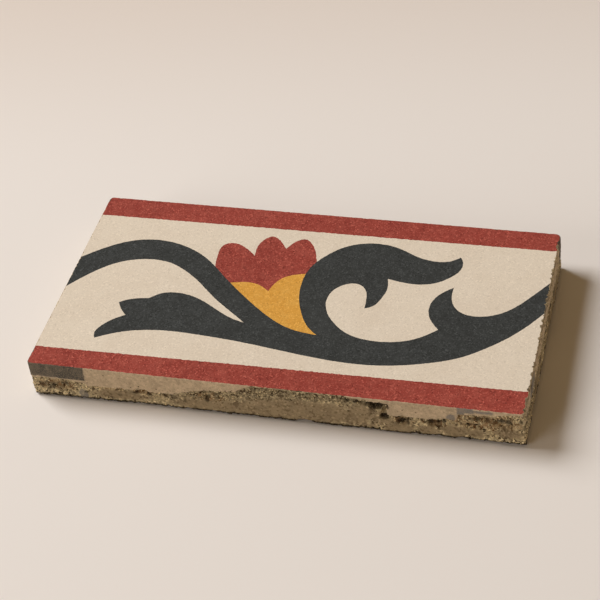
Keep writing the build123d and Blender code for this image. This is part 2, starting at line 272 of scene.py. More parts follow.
# Places where the mortar lies deep, painted dark for the shade in them: place along, height,
# half width, half height and strength
PAINTED_SHADE_PLACES = {
    "front": [
        (42.0, 13.5, 3.8, 1.8, 1.0), (45.7, 13.8, 1.6, 0.7, 1.0), (45.2, 11.8, 0.6, 0.9, 0.8),
        (45.2, 8.1, 1.9, 0.9, 1.0), (35.8, 14.8, 2.4, 0.8, 0.8), (31.0, 14.8, 1.2, 0.7, 0.9),
        (28.7, 15.7, 0.8, 0.7, 0.6), (18.0, 12.8, 1.6, 0.6, 0.5), (7.5, 12.1, 2.2, 0.6, 0.6),
        (0.5, 13.6, 0.9, 0.8, 0.4), (-26.3, 7.4, 1.0, 1.4, 0.8), (-22.0, 8.6, 0.8, 0.8, 0.5),
        (-35.6, 5.2, 0.8, 0.8, 0.6), (-40.3, 6.7, 1.4, 1.1, 0.6), (-43.2, 7.1, 0.8, 0.6, 0.5),
        (-50.3, 6.8, 1.2, 0.7, 0.9), (-56.0, 6.9, 1.9, 0.7, 0.8), (-63.0, 4.5, 0.9, 0.7, 0.4),
        (-69.5, 0.3, 1.2, 0.8, 0.7), (-74.0, 0.6, 1.6, 0.8, 0.7), (-76.8, 4.8, 1.2, 0.5, 0.8),
        (-86.0, 7.6, 1.4, 0.9, 0.7), (-91.5, 5.8, 1.2, 1.8, 0.7), (-95.6, 6.0, 1.0, 1.6, 0.6),
        (-91.0, 1.8, 0.9, 0.6, 0.8), (-83.0, 3.0, 0.9, 1.3, 0.4), (50.4, 7.8, 0.9, 0.6, 0.9),
        (51.3, 6.3, 1.4, 0.9, 0.9), (54.2, 6.7, 0.8, 1.3, 0.9), (61.8, 8.3, 0.8, 0.5, 0.8),
        (63.5, 7.0, 1.5, 1.0, 0.9), (66.1, 7.5, 1.2, 1.0, 0.9), (68.6, 8.3, 0.7, 1.1, 1.0),
        (75.6, 8.8, 1.0, 0.7, 0.5), (78.0, 8.5, 1.1, 0.7, 0.6), (81.6, 11.8, 1.9, 0.8, 0.6),
        (81.2, 8.6, 1.0, 0.6, 0.7), (85.6, 11.6, 0.9, 0.9, 0.7), (90.6, 12.0, 1.4, 1.2, 0.8),
        (93.4, 11.8, 1.5, 1.5, 0.8), (98.3, 13.6, 1.0, 1.0, 0.7),
    ],
    "right": [
        (-45, 13, 1.6, 1.2, 0.7), (-33, 15, 1.2, 2.4, 0.6), (-24, 6, 2.4, 2.0, 0.5),
        (-10, 7.5, 2.6, 1.2, 0.6), (19, 8.5, 3.0, 1.6, 0.8), (27, 7, 2.4, 2.2, 0.5),
    ],
    "back": [
        (-60, 7, 2.2, 1.1, 0.7), (-18, 10, 1.6, 1.0, 0.7), (29, 6, 2.6, 1.0, 0.8),
        (70, 9, 1.8, 1.2, 0.7),
    ],
    "left": [(-30, 7, 1.8, 1.1, 0.7), (10, 9, 1.4, 0.9, 0.7)],
}

# Rust in the mortar: place along, height, half width and half height
RUST_STAINS = {
    "front": [
        (52.5, 7.4, 4.0, 2.4), (65.5, 7.8, 4.6, 2.4), (82, 10.2, 10, 4.2), (92, 11.4, 6, 3.6),
        (-52.5, 7.6, 5.0, 2.0), (-90, 7.0, 8.0, 2.6), (-66, 9.5, 8.0, 2.5), (-25, 8.5, 7.0, 2.0),
    ],
    "back": [(28, 6, 7, 2.6), (-70, 6.5, 5, 2.4)],
    "right": [(14, 6.5, 5, 2.2)],
}

# The photograph's camera: where it stands round the tile, the pixel of a frame 600 wide that its axis
# meets, as the photograph is a crop from beside that point, and its focal length in those pixels
CAMERA_AZIMUTH = math.radians(15.54)
CAMERA_ELEVATION = math.radians(32.57)
CAMERA_ROLL = math.radians(-5.82)
CAMERA_DISTANCE = 749.0
CAMERA_SLIDE = (33.4, 160.8)
PICTURE_CENTRE = (386.0, -61.0)
FOCAL_PIXELS = 1816.0
FRAME_PIXELS = 600.0
SENSOR_WIDTH = 36.0

# Lamps, all at one distance from the tile: direction, size in metres, power in watts and tint
LAMP_DISTANCE = 4.0
LAMPS = {
    "window": ((-18.4, 4.3, 18.0), 2.1, 154.0, (0.985, 0.99, 1.0)),
    "room": ((-0.8, -0.9, 0.45), 2.0, 40.0, (1.0, 0.98, 0.96)),
    "low_fill": ((1.0, -0.1, 0.03), 0.5, 25.0, (1.0, 0.95, 0.9)),
}
SKY_COLOUR = (1.0, 0.69, 0.36, 1.0)
SKY_STRENGTH = 0.175


def linear(red, green, blue):
    """A colour of the screen, 0 to 255, as the linear values that a shader takes."""
    def channel(value):
        share = value / 255
        return share / 12.92 if share <= 0.04045 else ((share + 0.055) / 1.055) ** 2.4
    return (channel(red), channel(green), channel(blue))


def length(name, description, default):
    """A length property, in metres."""
    return FloatProperty(name=name, description=description, default=default, min=0.0, unit="LENGTH",
                         precision=5)


def colour(name, description, red, green, blue):
    """A colour property whose default is given as a colour of the screen."""
    return FloatVectorProperty(name=name, description=description, subtype="COLOR", min=0.0, max=1.0,
                               default=linear(red, green, blue))


class TileSizes(bpy.types.PropertyGroup):
    """Sizes of the tile's finish."""

    arris: length("Arris", "Width of the worn edge round the face", 0.35 * MM)
    band_fray: length("Band Fray", "How far the edge of a band wanders", 0.26 * MM)
    scroll_fray: length("Scroll Fray", "How far the edge of the scroll wanders", 0.1 * MM)
    grain: length("Grain", "Spacing of the mortar's broken relief", 1.4 * MM)
    relief: length("Relief", "Depth of the mortar's broken relief", 0.5 * MM)
    pore: length("Pore", "Spacing of the mortar's pores", 1.3 * MM)
    pore_depth: length("Pore Depth", "Depth of the mortar's pores", 0.7 * MM)
    sand: length("Sand", "Size of the largest loose grains", 0.58 * MM)
    sand_spacing: length("Sand Spacing", "Distance between loose grains", 1.2 * MM)
    seed: IntProperty(name="Seed", description="Changes the mortar's relief", default=7)


class TileColours(bpy.types.PropertyGroup):
    """Colours of the tile's cement."""

    ground: colour("Ground", "Cream cement round the scroll", 229, 216, 197)
    scroll: colour("Scroll", "Charcoal cement of the scroll", 55, 57, 56)
    petals: colour("Petals", "Red cement of the petals and bands", 154, 65, 54)
    calyx: colour("Calyx", "Ochre cement of the calyx", 222, 163, 68)
    skin: colour("Skin", "Smooth skin on the sides", 192, 170, 140)
    mortar: colour("Mortar", "Porous mortar", 180, 163, 128)
    trowelled: colour("Trowelled", "Smooth olive mortar", 156, 137, 106)
    # The pits' dark also serves as painted shade in deep places, in the relief's hollows and along the
    # foot.
    pits_and_painted_shade: colour("Pits", "Deep places of the mortar", 62, 44, 24)
    rust: colour("Rust", "Rust stain in the mortar", 150, 104, 58)
    slate: colour("Slate", "Grey patches on the sides", 124, 119, 114)
    floor: colour("Floor", "Floor that the tile lies on", 240, 234, 229)


def natural_bends(places, values):
    """Second derivatives of the natural cubic spline through values at those places."""
    count = len(places)
    gaps = np.diff(places)
    slopes = np.diff(values, axis=0) / gaps[:, None]
    system = np.eye(count)
    target = np.zeros_like(values)
    for i in range(1, count - 1):
        system[i, i - 1:i + 2] = (gaps[i - 1], 2 * (gaps[i - 1] + gaps[i]), gaps[i])
        target[i] = 6 * (slopes[i] - slopes[i - 1])
    return np.linalg.solve(system, target)


def curve_through(points, spacing):
    """Points about spacing apart on the smooth curve through the given ones."""
    knots = np.array(points, float)
    runs = np.linalg.norm(np.diff(knots, axis=0), axis=1)
    places = np.concatenate([[0], np.cumsum(runs)])
    bends = natural_bends(places, knots)
    at = np.linspace(0, places[-1], max(2, round(places[-1] / spacing) + 1))
    span = np.clip(np.searchsorted(places, at) - 1, 0, len(runs) - 1)
    gap = runs[span][:, None]
    after = (at - places[span])[:, None] / gap
    before = 1 - after
    bent = (before**3 - before) * bends[span] + (after**3 - after) * bends[span + 1]
    return before * knots[span] + after * knots[span + 1] + bent * gap**2 / 6


def chain(stretches, spacing):
    """The stretches' curves joined end to end."""
    curves = [curve_through(stretch, spacing) for stretch in stretches]
    return np.concatenate([curves[0], *[curve[1:] for curve in curves[1:]]])


def ripple(points, size, seed):
    """Smooth noise, about -1 to 1, at each point, with features about size apart."""
    shift = Vector((seed * 17.3, seed * 5.9, seed * 11.1))
    return np.array([noise.noise(Vector(point) / size + shift) for point in points])


def with_height(points, height=0.0):
    """Points of a plane as points of space."""
    return np.column_stack([points, np.full(len(points), height)])


def frayed(line, amount, size=0.9):
    """A line whose points wander by up to amount, alike wherever lines share a place."""
    flat = with_height(line)
    wander = [ripple(flat, size, 3) + 0.5 * ripple(flat, size / 3, 5), ripple(flat, size, 4)]
    return line + amount * np.column_stack(wander)


def smooth_step(value, start, end):
    """0 before start and 1 after end, with a soft change between them."""
    share = np.clip((value - start) / (end - start), 0, 1)
    return share * share * (3 - 2 * share)


def inside(points, outline):
    """Which of the points lie inside a closed outline."""
    x, y = points[:, 0:1], points[:, 1:2]
    start, end = outline, np.roll(outline, -1, axis=0)
    crosses = (start[:, 1] > y) != (end[:, 1] > y)
    rise = end[:, 1] - start[:, 1]
    rise = np.where(rise == 0, 1e-12, rise)
    at = start[:, 0] + (y - start[:, 1]) * (end[:, 0] - start[:, 0]) / rise
    return (crosses & (x < at)).sum(axis=1) % 2 == 1


class Rim:
    """Places round the tile's outline, with the outward direction and the side of each."""

    def __init__(self):
        corners = np.array(CORNER_SIGNS) * (HALF_LENGTH, HALF_WIDTH)
        places, outward, side = [], [], []
        for k, direction in enumerate(SIDE_DIRECTIONS):
            ahead = np.array(direction, float)
            out = np.array([ahead[1], -ahead[0]])
            following = (k + 1) % 4
            start = corners[k] + ahead * CORNER_ROUNDS[k]
            end = corners[following] - ahead * CORNER_ROUNDS[following]
            count = round(np.linalg.norm(end - start) / SIDE_SPACINGS[k])
            for share in np.arange(count) / count:
                places.append(start + share * (end - start))
                outward.append(out)
                side.append(k)
            radius = CORNER_ROUNDS[following]
            centre = end - out * radius
            count = max(4, round(radius * math.pi / 2 / SIDE_SPACINGS[k]))
            for share in np.arange(count) / count:
                turn = share * math.pi / 2
                facing = out * math.cos(turn) + ahead * math.sin(turn)
                places.append(centre + facing * radius)
                outward.append(facing)
                side.append(k if share < 0.5 else following)
        self.places = np.array(places)
        self.outward = np.array(outward)
        self.side = np.array(side)
        self.along = (self.places * np.array(SIDE_DIRECTIONS)[self.side]).sum(axis=1)
        self.flat = with_height(self.places)

    def by_side(self, table):
        """Each place's value from a table by side."""
        return np.array([table[side] for side in SIDES])[self.side]

    def at(self, inset, height):
        """The rim moved in by inset, at a height; both may differ from place to place."""
        flat = self.places - self.outward * np.broadcast_to(inset, len(self.places))[:, None]
        return np.column_stack([flat, np.broadcast_to(height, len(flat))])

    def shrunk(self, inset, height):
        """The rim drawn towards the middle, so that insets wider than a corner's round don't fold."""
        scale = 1 - np.reshape(inset, (-1, 1)) / np.array([HALF_LENGTH, HALF_WIDTH])
        return with_height(self.places * scale, height)


# Values that the points carry, with the count of numbers in each. Stains are charcoal, slate and
# rust, and mortar is trowelled, coarse and painted shade: dark paint for shade by the foot, in deep
# places and under the worn edge.
POINT_VALUES = {"outward": 3, "rough": 1, "skin": 1, "stains": 3, "mortar": 3}


class TileMesh:
    """Points, faces and the values that they carry, collected before they become one mesh."""

    def __init__(self):
        self.points, self.faces, self.cells = [], [], []
        self.values = {name: [] for name in POINT_VALUES}

    def add_points(self, points, **values):
        """Adds points with their values and returns the number of the first one."""
        first = sum(len(batch) for batch in self.points)
        self.points.append(points)
        for name, width in POINT_VALUES.items():
            given = np.reshape(values.get(name, np.zeros(width)), (-1, width))
            self.values[name].append(np.broadcast_to(given, (len(points), width)))
        return first

    def add_faces(self, faces, cells):
        """Adds faces, with the cell of each."""
        self.faces.extend(tuple(map(int, face)) for face in faces)
        self.cells.extend(np.broadcast_to(cells, len(faces)).tolist())

    def made(self, name):
        """The collected mesh, with its values as attributes."""
        mesh = bpy.data.meshes.new(name)
        points = scooped(np.concatenate(self.points)) * MM
        mesh.from_pydata(points.tolist(), [], self.faces)
        cell = mesh.attributes.new("cell", "INT", "FACE")
        cell.data.foreach_set("value", np.array(self.cells, np.int32))
        for label, width in POINT_VALUES.items():
            kind, field = ("FLOAT_VECTOR", "vector") if width == 3 else ("FLOAT", "value")
            attribute = mesh.attributes.new(label, kind, "POINT")
            attribute.data.foreach_set(field, np.concatenate(self.values[label]).ravel())
        return mesh


def worn_edge(rim, sizes):
    """How far the worn edge of the face stands in from the sides and how chipped it is, at each place."""
    fine = ripple(rim.flat, 1.1, 11) + 0.6 * ripple(rim.flat, 0.45, 12)
    chips = smooth_step(ripple(rim.flat, 2.6, 13) + 0.5 * ripple(rim.flat, 0.9, 14), 0.16, 0.7)
    wear = rim.by_side(WORN_EDGES)
    teeth = smooth_step(ripple(rim.flat, 1.0, 15), 0.0, 0.4)
    broken = wear * (0.6 * chips + 0.75 * teeth)
    for k, side in enumerate(SIDES):
        here = rim.side == k
        for place, reach, depth in WORN_STRETCHES.get(side, []):
            away = np.abs(rim.along[here] - place)
            broken[here] += depth * smooth_step(away, reach, 0) * (1 + 0.2 * fine[here])
    inset = sizes.arris / MM * (0.5 + 0.5 * wear) * (1 + 0.45 * fine) + broken
    return inset, np.clip(broken, 0, 1)


def skin_share(rim, height, wander):
    """1 on the smooth skin of the sides and 0 on the mortar below it, round the tile at a height."""
    line = np.zeros(len(rim.places))
    for k, side in enumerate(SIDES):
        here = rim.side == k
        along, heights = np.array(SKIN_LINES[side]).T
        line[here] = np.interp(rim.along[here], along, heights)
    skin = smooth_step(height - line - wander, -0.15, 0.25)
    flakes = ripple(rim.at(0, height), 3.2, 16) + 0.6 * ripple(rim.at(0, height), 1.1, 17)
    return skin * (1 - rim.by_side(FLAKED_SKIN) * smooth_step(flakes, -0.12, 0.12))


def spots(rim, height, table, soft):
    """Soft-edged ellipses from a table, round the tile. A row may end with the ellipse's own weight."""
    total = np.zeros(len(rim.places))
    warp = 0.35 * ripple(rim.at(0, height), 1.7, 21) + 0.2 * ripple(rim.at(0, height), 0.7, 22)
    for k, side in enumerate(SIDES):
        here = rim.side == k
        for along, level, wide, high, *weight in table.get(side, []):
            across = (rim.along[here] - along) / wide
            reach = np.hypot(across, (height - level) / high) + warp[here]
            spot = (1 - smooth_step(reach, 1 - soft, 1 + soft)) * (weight[0] if weight else 1)
            total[here] = np.maximum(total[here], spot)
    return total


def patches(rim, height, table):
    """1 inside the patches of a table and 0 outside, round the tile at a height."""
    total = np.zeros(len(rim.places))
    warp = 0.35 * ripple(rim.at(0, height), 1.6, 31) + 0.15 * ripple(rim.at(0, height), 0.6, 32)
    for k, side in enumerate(SIDES):
        here = rim.side == k
        for left, right, low, high in table.get(side, []):
            along, level = rim.along[here] + warp[here], height + warp[here]
            within = np.minimum.reduce([along - left, right - along, level - low, high - level])
            total[here] = np.maximum(total[here], smooth_step(within, -0.15, 0.25))
    return total


def scooped(points):
    """Points moved out of the scoops of the bottom edge, onto their round walls."""
    moved = points.copy()
    rough_wall = 0.3 * ripple(points, 1.9, 41)
    for k, side in enumerate(SIDES):
        ahead = np.array(SIDE_DIRECTIONS[k], float)
        out = np.array([ahead[1], -ahead[0]])
        middle = out * (HALF_WIDTH if k % 2 == 0 else HALF_LENGTH)
        for along, width, height, depth in SCOOPS[side]:
            half = width / 2
            below = (half**2 - height**2) / (2 * height)
            outside = (half**2 - depth**2) / (2 * depth)
            wall = math.hypot(half, below, outside) + rough_wall
            centre = np.array([*(middle + ahead * along + out * outside), -below])
            away = moved - centre
            reach = np.linalg.norm(away, axis=1)
            near = reach < wall
            moved[near] = centre + away[near] * (wall[near] / reach[near])[:, None]
    return moved


def foot(run, crumble):
    """Inset and height of a place by the bottom edge, which hangs over the floor by a crumbled height.

    Run is the place's height on the side or, on the underside, its inset with a minus.
    """
    reach = 2 * crumble + 0.4
    share = (crumble - run) / (crumble + reach)
    hanging = (share > 0) & (share < 1)
    inset = np.where(hanging, share * reach, np.maximum(-run, 0))
    height = np.where(hanging, crumble * (1 - share**3), np.maximum(run, 0))
    return inset, height


def side_ring(tile, rim, sizes, height, edge_share, wander, crumble):
    """Adds one ring of points down the sides and returns the number of its first point."""
    edge, chips = worn_edge(rim, sizes)
    skin = skin_share(rim, height, wander)
    below_edge = smooth_step(THICKNESS - height, 0.2, 0.9)
    uneven = 1.1 + 0.3 * ripple(rim.at(0, height), 5.0, 55) - 0.8 * spots(rim, height, LEVEL_MORTAR, 0.4)
    step = (1 - skin) * rim.by_side(SKIN_STEPS) * uneven * below_edge
    foot_inset, level = foot(height, crumble)
    inset = np.maximum(edge * edge_share, step) + spots(rim, height, HOLLOWS, 0.25) + foot_inset
    wear = rim.by_side(WORN_EDGES)
    fray = 0.8 * ripple(rim.flat, 1.4, 58)

    charcoal = patches(rim, height, CHARCOAL_PATCHES)
    slate = np.maximum(patches(rim, height, SLATE_PATCHES), spots(rim, height, PEBBLES, 0.15))
    trowelled = spots(rim, height, TROWELLED, 0.3)
    coarse = spots(rim, height, COARSE, 0.35)
    chipped = np.clip(chips * edge_share * 1.4, 0, 1)
    # Painted shade: a dark band just above the crumbled bottom edge, for the shadow where the tile meets
    # the floor.
    painted_shade = smooth_step(height - crumble + 0.35 * ripple(rim.flat, 1.3, 56), 1.25, 0.75)
    # Painted shade just under the face's edge, strongest where the edge is most worn.
    under_edge = smooth_step(below_edge, 0, 0.2) * smooth_step(THICKNESS - height + fray, 1.7, 0.5)
    painted_shade = np.maximum.reduce([painted_shade, spots(rim, height, PAINTED_SHADE_PLACES, 0.4), under_edge * wear**2])
    smooth = np.maximum.reduce([skin * (1 - chipped), charcoal, slate])
    rough = (1 - smooth) * (1 - 0.8 * trowelled * (1 - coarse)) * below_edge
    return tile.add_points(
        rim.at(inset, level),
        outward=np.column_stack([rim.outward, np.zeros(len(rim.places))]),
        rough=rough,
        skin=skin * (1 - chipped),
        stains=np.column_stack([charcoal, slate, spots(rim, height, RUST_STAINS, 0.5)]),
        # Chipped places of the edge take painted shade as well.
        mortar=np.column_stack([trowelled, coarse, np.maximum(painted_shade, 0.6 * chipped)]),
    )


def side_rings(tile, rim, sizes):
    """Adds the sides' points, from the worn edge of the face to the underside, ring by ring."""
    wander = 0.5 * ripple(rim.flat, 2.4, 52) + 0.3 * ripple(rim.flat, 0.8, 53)
    crumble = 0.45 + 0.4 * smooth_step(ripple(rim.flat, 2.2, 54), 0.1, 0.6)
    crumble += 0.3 * smooth_step(ripple(rim.flat, 11.0, 57), -0.2, 0.4)
    levels = [(THICKNESS - depth, share) for depth, share in EDGE_RINGS]
    plain = np.arange(THICKNESS - FIRST_SIDE_RING, LOWEST_SIDE_RING, -SIDE_RING_SPACING)
    levels += [(height, 0.0) for height in plain]
    rings = [side_ring(tile, rim, sizes, height, share, wander, crumble) for height, share in levels]
    for inset in FOOT_RINGS:
        moved, level = foot(-inset, crumble)
        stepped = moved + 1.3 * rim.by_side(SKIN_STEPS)
        # Painted shade on the outer foot rings, for the shadow where the tile meets the floor.
        painted_shade = (0, 0, smooth_step(inset, FOOT_RINGS[4], FOOT_RINGS[2]))
        ring = tile.add_points(
            rim.shrunk(stepped, level), outward=(0, 0, -1), rough=0.1, mortar=painted_shade,
        )
        rings.append(ring)
    for inset in UNDERSIDE_RINGS:
        rings.append(tile.add_points(rim.shrunk(inset, 0.0), outward=(0, 0, -1), rough=0.12))
    return rings


def face_chains(sizes):
    """Lines across the whole face, lines within it, and each cell's closed outline, in order of rank."""
    fray = sizes.scroll_fray / MM
    upper = frayed(chain(SCROLL_UPPER, LINE_SPACING), fray)
    lower = frayed(chain(SCROLL_LOWER, LINE_SPACING), fray)
    calyx = frayed(chain([CALYX_LEFT, CALYX_RIGHT], LINE_SPACING), fray)
    petals = frayed(chain([LEFT_PETAL, MIDDLE_PETAL, RIGHT_PETAL], LINE_SPACING), 1.4 * fray)
    cells = [
        (SCROLL, np.concatenate([upper, lower])),
        (CALYX, np.concatenate([calyx, CALYX_HIDDEN])),
        (PETALS, np.concatenate([petals, PETALS_HIDDEN])),
    ]
    across = [upper, lower]
    for heights, outer in ((BACK_BAND_INNER_Y, HALF_WIDTH), (FRONT_BAND_INNER_Y, -HALF_WIDTH)):
        ends = [(-HALF_LENGTH, heights[0]), (HALF_LENGTH, heights[1])]
        inner = frayed(curve_through(ends, LINE_SPACING), sizes.band_fray / MM)
        beyond = [(HALF_LENGTH + 1, outer * 1.1), (-HALF_LENGTH - 1, outer * 1.1)]
        across.append(inner)
        cells.append((PETALS, np.concatenate([inner, beyond])))
    return across, [calyx, petals], cells


def snapped(line, rim_points):
    """A line across the face cut off short of the rim, then tied to the nearest rim points."""
    kept = line[np.abs(line[:, 0]) < HALF_LENGTH - TIE_LENGTH]
    ties = [int(np.argmin(np.linalg.norm(rim_points - end, axis=1))) for end in (line[0], line[-1])]
    return kept, ties


def triangulated(rim_points, across, within, spacing):
    """Flat triangles that fill the rim, with edges along the lines. Rim points keep their places."""
    points = [rim_points]
    count = len(rim_points)
    edges = [(i, (i + 1) % count) for i in range(count)]
    for line in across:
        kept, (first, last) = snapped(line, rim_points)
        points.append(kept)
        edges.append((first, count))
        edges.extend((count + i, count + i + 1) for i in range(len(kept) - 1))
        count += len(kept)
        edges.append((count - 1, last))
    for line in within:
        points.append(line)
        edges.extend((count + i, count + i + 1) for i in range(len(line) - 1))
        count += len(line)
    columns = np.arange(-HALF_LENGTH + spacing, HALF_LENGTH - spacing / 2, spacing)
    rows = np.arange(-HALF_WIDTH + spacing, HALF_WIDTH - spacing / 2, spacing)
    stagger = 0.31 * spacing
    points.append(np.array([(x + stagger * (j % 2), y) for j, y in enumerate(rows) for x in columns]))
    flat = np.concatenate(points)
    made = delaunay_2d_cdt([Vector(p) for p in flat], edges, [], 0, 1e-5)
    places = np.array([tuple(p) for p in made[0]])
    triangles = np.array(made[2])
    source = np.array([min(ids, default=-1) for ids in made[3]])
    middles = places[triangles].mean(axis=1)
    triangles = triangles[inside(middles, rim_points)]
    return places, triangles, source


def ring_faces(lower, upper, count):
    """Faces between two rings of points, given the numbers of their first points."""
    around = [(i, (i + 1) % count) for i in range(count)]
    return [(lower + i, lower + j, upper + j, upper + i) for i, j in around]


def fill(tile, ring, count, across, within, spacing, height, **values):
    """Fills a flat ring with new points and returns the triangles and their middles."""
    rim_points = np.concatenate(tile.points)[ring:ring + count, :2]
    places, triangles, source = triangulated(rim_points, across, within, spacing)
    on_ring = (source >= 0) & (source < count)
    numbers = ring + source
    first = tile.add_points(with_height(places[~on_ring], height), **values)
    numbers[~on_ring] = first + np.arange(np.count_nonzero(~on_ring))
    return numbers[triangles], places[triangles].mean(axis=1)


def block_mesh(sizes):
    """The whole tile before its mortar is roughened: face, worn edge, sides and underside."""
    rim = Rim()
    count = len(rim.places)
    tile = TileMesh()
    rings = side_rings(tile, rim, sizes)
    for upper, lower in zip(rings, rings[1:]):
        tile.add_faces(ring_faces(lower, upper, count), MORTAR)

    across, within, cells = face_chains(sizes)
    triangles, middles = fill(tile, rings[0], count, across, within, FACE_SPACING, THICKNESS,
                              outward=(0, 0, 1), skin=1.0)
    cell = np.full(len(triangles), GROUND)
    for number, outline in reversed(cells):
        cell[inside(middles, outline)] = number
    tile.add_faces(triangles, cell)

    underside = fill(tile, rings[-1], count, [], [], UNDERSIDE_SPACING, 0.0,
                     outward=(0, 0, -1), rough=0.12)[0]
    tile.add_faces(underside[:, ::-1], MORTAR)
    return tile.made("tile_block")


class Builder:
    """Adds nodes to a tree, with their inputs given as values or as the sockets that feed them."""

    def __init__(self, tree):
        self.tree = tree

    def node(self, kind, inputs=None, **settings):
        """One node; inputs are named or numbered."""
        made = self.tree.nodes.new(kind)
        made.location = (190 * (len(self.tree.nodes) % 12), -260 * (len(self.tree.nodes) // 12))
        for name, value in settings.items():
            setattr(made, name, value)
        for name, value in (inputs or {}).items():
            self.feed(made.inputs[name], value)
        return made

    def feed(self, socket, value):
        """Links a socket or sets its value."""
        if isinstance(value, bpy.types.NodeSocket):
            self.tree.links.new(value, socket)
        else:
            socket.default_value = value

    def math(self, operation, *values, clamp=False):
        """The result of a Math node."""
        made = self.node("ShaderNodeMath", dict(enumerate(values)), operation=operation, use_clamp=clamp)
        return made.outputs[0]

    def scaled(self, vector, factor):
        """A vector times a factor."""
        made = self.node("ShaderNodeVectorMath", {0: vector, 3: factor}, operation="SCALE")
        return made.outputs["Vector"]

    def parts(self, vector):
        """The three numbers of a vector or of a colour."""
        return self.node("ShaderNodeSeparateXYZ", {0: vector}).outputs

    def random(self, low, high, seed):
        """A random vector for each element, between two corners."""
        inputs = {"Min": (low,) * 3, "Max": (high,) * 3, "Seed": seed}
        return self.node("FunctionNodeRandomValue", inputs, data_type="FLOAT_VECTOR").outputs[0]

    def scale(self, size):
        """The scale of a texture with features about size metres apart; size may be a socket."""
        if isinstance(size, bpy.types.NodeSocket):
            return self.math("DIVIDE", 1.0, size)
        return 1 / size

    def noise(self, size, detail, roughness, at, seed):
        """Noise from 0 to 1 with features about size metres apart."""
        inputs = {
            "Vector": at, "W": seed, "Scale": self.scale(size), "Detail": detail, "Roughness": roughness,
        }
        return self.node("ShaderNodeTexNoise", inputs, noise_dimensions="4D").outputs[0]

    def cells(self, size, at, seed):
        """A Voronoi node whose cells are about size metres apart."""
        inputs = {"Vector": at, "W": seed, "Scale": self.scale(size)}
        return self.node("ShaderNodeTexVoronoi", inputs, voronoi_dimensions="4D")

    def between(self, value, low, high, start=0.0, end=1.0):
        """Value spread from low to high onto start to end, with a soft change and held ends."""
        inputs = {"Value": value, 1: low, 2: high, 3: start, 4: end}
        return self.node("ShaderNodeMapRange", inputs, interpolation_type="SMOOTHSTEP").outputs[0]

    def mix(self, share, first, second, blend="MIX"):
        """Two colours mixed by a share."""
        inputs = {0: share, 6: first, 7: second}
        return self.node("ShaderNodeMix", inputs, data_type="RGBA", blend_type=blend).outputs[2]


# Inputs of the mortar's relief, and the size of the tile's finish that each one takes
RELIEF_INPUTS = {
    "Grain": "grain", "Relief": "relief", "Pore": "pore", "Pore Depth": "pore_depth",
    "Sand": "sand", "Sand Spacing": "sand_spacing",
}


